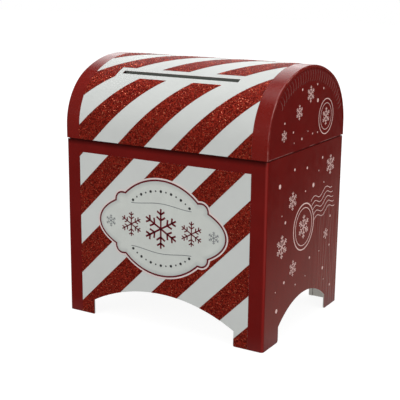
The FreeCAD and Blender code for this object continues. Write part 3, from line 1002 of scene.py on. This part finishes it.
class TINBOX_OT_label(bpy.types.Operator):
    """Scalloped label on the front with a plain snowflake ornament"""
    bl_idname = "tinbox.label"
    bl_label = "Label"

    def execute(self, context):
        sizes = context.scene.tinbox_print
        middle = (0.0, sizes.label_middle)
        base, half_line, rim_width = 0.2 * MM, 0.5 * MM, 0.9 * MM
        rings = [label_outline(grow) for grow in (half_line + rim_width, half_line, -half_line)]
        rim = printed("label_rim", band(rings[0], rings[1]), on_front, 0.0, base, material("label_rim"))
        edge = printed("label_line", band(rings[1], rings[2]), on_front, 0.0, base, material("label_line"))
        insets = (0.0, 0.6 * MM, 1.3 * MM, LABEL_GREYING)
        outlines = [label_outline(-half_line - inset) for inset in insets]
        cells = []
        for outer, inner in zip(outlines, outlines[1:]):
            cells += band(outer, inner)
        core = outlines[-1]
        cells += [[middle, a, b] for a, b in zip(core, core[1:] + core[:1])]
        known = {point: inset for outline, inset in zip(outlines, insets) for point in outline}

        def depth_in(u, v):
            return known.get((u, v), LABEL_GREYING)

        field = printed("label_field", cells, on_front, 0.0, base, material("label"), depth_in)
        for piece in (rim, edge, field):
            finished(piece, "box", "striped_print")
        self.ornament(sizes, base)
        return {"FINISHED"}

    def ornament(self, sizes, base):
        """A row of red snowflakes between grey ones, under and over curved rows of dots."""
        def place(u, v, height):
            return on_front(u, v, base + height)

        middle = sizes.label_middle / MM
        red_flakes = ((0.0, middle, 11.5), (-20.0, middle, 7.2), (20.0, middle, 7.2))
        grey_flakes = ((-34.2, middle, 3.6), (34.2, middle, 3.6))
        row_radius, row_drop, row_turn = 28, 6.5, 7
        rule_rise, rule_swing, rule_half = 13.6, 0.9, 20
        dots, rules = [], []
        for side in (-1, 1):
            for step in range(-6, 7):
                angle = math.radians(90 + row_turn * step)
                rise = row_radius * math.sin(angle) - row_drop
                dots.append((row_radius * math.cos(angle), middle + side * rise, 0.5 if step % 2 else 0.8))
            points = []
            for u in range(-rule_half, rule_half + 1):
                rise = rule_rise + rule_swing * math.cos(math.radians(u * 9))
                points.append((u * MM, (middle + side * rise) * MM))
            rules += stroke(points, 0.4 * MM)
        lines = printed("label_rules", rules, place, 0.0, sizes.ink, material("label_grey"))
        red = strewn_print("label_snowflakes", "snowflakes", red_flakes, place, FACING_FRONT, "label_line")
        grey = strewn_print("label_snowflakes_grey", "snowflakes", grey_flakes, place, FACING_FRONT,
                            "label_grey")
        beads = strewn_print("label_dots", "dots", dots, place, FACING_FRONT, "label_dark")
        for piece in (lines, red, grey, beads):
            finished(piece, "box", "striped_print")


class TINBOX_OT_snow(bpy.types.Operator):
    """Pale snowflakes, dots and round marks on the sides and the lid's ends"""
    bl_idname = "tinbox.snow"
    bl_label = "Snow print"

    def execute(self, context):
        walls = (
            ("right", "box", on_right, FACING_RIGHT, SIDE_FLAKES, SIDE_DOTS, SIDE_MARK, True),
            ("left", "box", on_left, FACING_LEFT, SIDE_FLAKES, SIDE_DOTS, SIDE_MARK, True),
            ("right_end", "lid", on_right_end, FACING_RIGHT, END_FLAKES, END_DOTS, END_MARK, False),
            ("left_end", "lid", on_left_end, FACING_LEFT, END_FLAKES, END_DOTS, END_MARK, False),
        )
        for name, body, place, facing, flakes, dots, mark, waves in walls:
            marked = flakes + ((mark[0], mark[1], mark[2] * 0.5),)
            slot = "striped_print" if body == "box" else "red_print"
            pieces = [strewn_print("snowflakes_" + name, "snowflakes", marked, place, facing, "snow"),
                      strewn_print("snow_dots_" + name, "dots", dots, place, facing, "snow"),
                      self.round_mark("round_mark_" + name, mark, place, waves)]
            for piece in pieces:
                finished(piece, body, slot)
        return {"FINISHED"}

    def round_mark(self, name, mark, place, waves):
        """Two rings, with a spray of wavy lines leaving them on the body."""
        ink = bpy.context.scene.tinbox_print.ink
        u, v, radius = (part * MM for part in mark)
        line = (0.7 if waves else 0.5) * MM
        ring_gap, inner_line, wave_line = 2.6 * MM, 0.65 * line, 0.36 * MM
        cells = ring((u, v), radius, line) + ring((u, v), radius - ring_gap, inner_line)
        if waves:
            for row in range(5):
                cells += stroke(self.wavy_line(row), wave_line)
        return printed(name, cells, place, 0.0, ink, material("snow"))

    def wavy_line(self, row):
        """A line of the spray, each row lower: it climbs a little and waves as it runs out."""
        start, top = 6.5 + row * 1.2, 73.0 - row * 3.1
        run, climb, swing, half_waves, steps = 30, 4.5, 1.5, 3.6, 32
        points = []
        for step in range(steps + 1):
            along = step / steps
            wave = swing * math.sin(along * half_waves * math.pi)
            points.append(((start + along * run) * MM, (top + along * climb + wave) * MM))
        return points


# Soft lights: place, what they point at, size, power, and whether the varnish mirrors them
SOFTBOXES = {
    "top_softbox": ((0.05, -0.05, 1.1), (0, 0, 0.1), 1.3, 5.4, False),
    "front_softbox": ((-0.5, -1.3, 0.7), (0, 0, 0.08), 0.9, 6.6, False),
    "right_softbox": ((1.2, -0.2, 0.6), (0, 0, 0.08), 0.9, 4.4, False),
    "back_softbox": ((-0.62, 1.1, 0.85), (0, 0, 0.15), 1.0, 4.1, True),
}

# The photograph's camera: azimuth, elevation and roll in degrees, place, and focal length in pixels
PHOTO_TURN = (30.61, 13.80, 0.59)
PHOTO_PLACE = (0.2774, -0.4767, 0.2017)
PHOTO_FOCAL = 942.0
PHOTO_WIDTH = 400.0

WHITE = (1.0, 1.0, 1.0, 1.0)
BLACK = (0.0, 0.0, 0.0, 1.0)
WARM_GLOW = (1.0, 0.74, 0.65, 1.0)
FLOOR_REACH = 3.0
ROOM_LIGHT = 0.38


class TINBOX_OT_stage(bpy.types.Operator):
    """Pale floor, soft lights and the photograph's camera"""
    bl_idname = "tinbox.stage"
    bl_label = "Stage"

    def execute(self, context):
        scene = context.scene
        scene.view_settings.view_transform = "Standard"
        self.floor()
        self.world(scene)
        for name, settings in SOFTBOXES.items():
            self.lamp(name, *settings)
        self.camera(scene)
        return {"FINISHED"}

    def floor(self):
        """White floor that keeps the box's shadow. What the varnish mirrors of it is a glow of its own."""
        mesh = bpy.data.meshes.new("floor")
        corners = ((-1, -1), (1, -1), (1, 1), (-1, 1))
        mesh.from_pydata([(x * FLOOR_REACH, y * FLOOR_REACH, 0) for x, y in corners], [], [(0, 1, 2, 3)])
        surface_material, tree, place = new_material("pale_floor")
        path = node(tree, "ShaderNodeLightPath")
        parts = node(tree, PARTS, {"Vector": place})
        outside = node(tree, RANGE, {"Value": parts["X"], "From Min": 0.06, "From Max": 0.08})["Result"]
        strength = self.mirrored_glow(tree, place, parts, outside)
        mirrored = node(tree, MATH, {0: strength, 1: path["Is Glossy Ray"]}, operation="MULTIPLY")
        away = node(tree, "ShaderNodeVectorMath", {0: place}, operation="LENGTH")
        # Painted shade: seen from the camera the floor glows dimmer near the box, 0.9 out to 0.2 m, rising
        # to full white at 0.6 m
        pale = node(tree, RANGE, {"Value": away["Value"], "From Min": 0.2, "From Max": 0.6, "To Min": 0.9})
        seen = node(tree, MATH, {0: path["Is Camera Ray"], 1: path["Is Transmission Ray"]},
                    operation="MAXIMUM")
        glow = node(tree, MATH, {0: seen["Value"], 1: pale["Result"], 2: mirrored["Value"]},
                    operation="MULTIPLY_ADD")
        warm = node(tree, MATH, {0: path["Is Glossy Ray"], 1: outside}, operation="MULTIPLY")
        tint = node(tree, MIX, {SHARE: warm["Value"], FIRST: WHITE, SECOND: WARM_GLOW}, data_type="RGBA")
        light = node(tree, "ShaderNodeEmission", {"Color": tint[MIXED], "Strength": glow["Value"]})
        # Painted light: diffuse rays meet a paler grey than the camera sees, so the floor throws more light
        # on the box than it shows; mirrored rays meet black
        grey = linear("#7F7F7F")
        for ray, shade in (("Is Diffuse Ray", linear("#B8B8B8")), ("Is Glossy Ray", BLACK)):
            grey = node(tree, MIX, {SHARE: path[ray], FIRST: grey, SECOND: shade}, data_type="RGBA")[MIXED]
        paint = node(tree, "ShaderNodeBsdfDiffuse", {"Color": grey})
        both = node(tree, "ShaderNodeAddShader", {0: light["Emission"], 1: paint["BSDF"]})
        node(tree, OUTPUT, {"Surface": both["Shader"]})
        new_piece("floor", mesh, surface_material)

    def mirrored_glow(self, tree, place, parts, outside):
        """Brightness in the varnish: fading away from the right side, even under the box, dim in front."""
        fade_per_metre = (-6.6, 1.5, 0.0)
        fade = node(tree, "ShaderNodeVectorMath", {0: place, 1: fade_per_metre}, operation="DOT_PRODUCT")
        slope = node(tree, MATH, {0: fade["Value"], 1: 1.0}, operation="ADD")
        slope = node(tree, "ShaderNodeClamp", {"Value": slope["Value"], "Min": 0.03, "Max": 0.8})
        beside = node(tree, MIX, {SHARE: outside, FIRST_NUMBER: 0.5, SECOND_NUMBER: slope["Result"]})
        behind = node(tree, RANGE, {"Value": parts["Y"], "From Min": -0.07, "From Max": -0.03})
        corner = node(tree, RANGE, {"Value": parts["X"], "From Min": 0.1, "From Max": 0.2,
                                    "To Min": 0.03, "To Max": 0.45})
        return node(tree, MIX, {SHARE: behind["Result"], FIRST_NUMBER: corner["Result"],
                                SECOND_NUMBER: beside[MIXED_NUMBER]})[MIXED_NUMBER]

    def world(self, scene):
        """White where the camera looks and even for light. The varnish mirrors three bright parts of it."""
        scene.world = bpy.data.worlds.new("studio")
        scene.world.use_nodes = True
        tree = scene.world.node_tree
        tree.nodes.clear()
        path = node(tree, "ShaderNodeLightPath")
        way = node(tree, "ShaderNodeTexCoord")["Generated"]
        back_wall, right_card, overhead = (-0.5, 0.85, 0.0), (0.8, -0.45, 0.4), (0.0, 0.0, 1.0)
        bright = 0.0
        lights = ((back_wall, 0.68, 0.95, 0.05, 1.0), (right_card, 0.55, 0.85, 0.0, 1.2),
                  (overhead, 0.88, 0.95, 0.0, 4.2))
        for towards, edge, full, least, most in lights:
            along = node(tree, "ShaderNodeVectorMath", {0: way, 1: towards}, operation="DOT_PRODUCT")
            part = node(tree, RANGE, {"Value": along["Value"], "From Min": edge, "From Max": full,
                                      "To Min": least, "To Max": most})
            bright = node(tree, MATH, {0: bright, 1: part["Result"]}, operation="MAXIMUM")["Value"]
        lit = node(tree, MIX, {SHARE: path["Is Glossy Ray"], FIRST_NUMBER: ROOM_LIGHT,
                               SECOND_NUMBER: bright})
        strength = node(tree, MIX, {SHARE: path["Is Camera Ray"], FIRST_NUMBER: lit[MIXED_NUMBER],
                                    SECOND_NUMBER: 1.0})
        sky = node(tree, "ShaderNodeBackground", {"Color": WHITE, "Strength": strength[MIXED_NUMBER]})
        node(tree, "ShaderNodeOutputWorld", {"Surface": sky["Background"]})

    def lamp(self, name, place, target, size, power, mirrored):
        """A soft light; one that isn't mirrored lights the box but doesn't show in its varnish."""
        data = bpy.data.lights.new(name, "AREA")
        data.energy = power
        data.size = size
        lamp = bpy.data.objects.new(name, data)
        lamp.location = place
        lamp.rotation_euler = (Vector(target) - Vector(place)).to_track_quat("-Z", "Y").to_euler()
        lamp.visible_camera = False
        lamp.visible_glossy = mirrored
        bpy.context.scene.collection.objects.link(lamp)

    def camera(self, scene):
        """The camera that was fitted to the photograph."""
        azimuth, elevation, roll = (math.radians(angle) for angle in PHOTO_TURN)
        forward = Vector((-math.sin(azimuth) * math.cos(elevation), math.cos(azimuth) * math.cos(elevation),
                          -math.sin(elevation)))
        level = forward.cross(Vector((0, 0, 1))).normalized()
        upright = level.cross(forward)
        right = level * math.cos(roll) + upright * math.sin(roll)
        up = upright * math.cos(roll) - level * math.sin(roll)
        turn = Matrix((right, up, -forward)).transposed().to_4x4()
        data = bpy.data.cameras.new("photo_view")
        data.sensor_width = 36.0
        data.lens = PHOTO_FOCAL / PHOTO_WIDTH * data.sensor_width
        data.clip_start = 0.01
        camera = bpy.data.objects.new("photo_view", data)
        camera.matrix_world = Matrix.Translation(PHOTO_PLACE) @ turn
        scene.collection.objects.link(camera)
        scene.camera = camera


class TINBOX_PT_panel(bpy.types.Panel):
    """Sizes, colours and steps of the tin box"""
    bl_idname = "TINBOX_PT_panel"
    bl_label = "Tin money box"
    bl_space_type = "VIEW_3D"
    bl_region_type = "UI"
    bl_category = "Tin box"

    def draw(self, context):
        layout = self.layout
        for group in (context.scene.tinbox_print, context.scene.tinbox_colours):
            for name in group.__annotations__:
                layout.prop(group, name)
        for operator in OPERATORS:
            layout.operator(operator.bl_idname)


OPERATORS = (TINBOX_OT_body_sheet, TINBOX_OT_lid_sheet, TINBOX_OT_stripes, TINBOX_OT_label, TINBOX_OT_snow,
             TINBOX_OT_stage)
CLASSES = (PrintSizes, InkColours) + OPERATORS + (TINBOX_PT_panel,)


def register():
    for item in CLASSES:
        bpy.utils.register_class(item)
    bpy.types.Scene.tinbox_print = bpy.props.PointerProperty(type=PrintSizes)
    bpy.types.Scene.tinbox_colours = bpy.props.PointerProperty(type=InkColours)


def unregister():
    del bpy.types.Scene.tinbox_colours
    del bpy.types.Scene.tinbox_print
    for item in reversed(CLASSES):
        bpy.utils.unregister_class(item)


def main():
    register()
    bpy.ops.tinbox.body_sheet()
    bpy.ops.tinbox.lid_sheet()
    bpy.ops.tinbox.stripes()
    bpy.ops.tinbox.label()
    bpy.ops.tinbox.snow()
    bpy.ops.tinbox.stage()


if __name__ == "__main__":
    main()
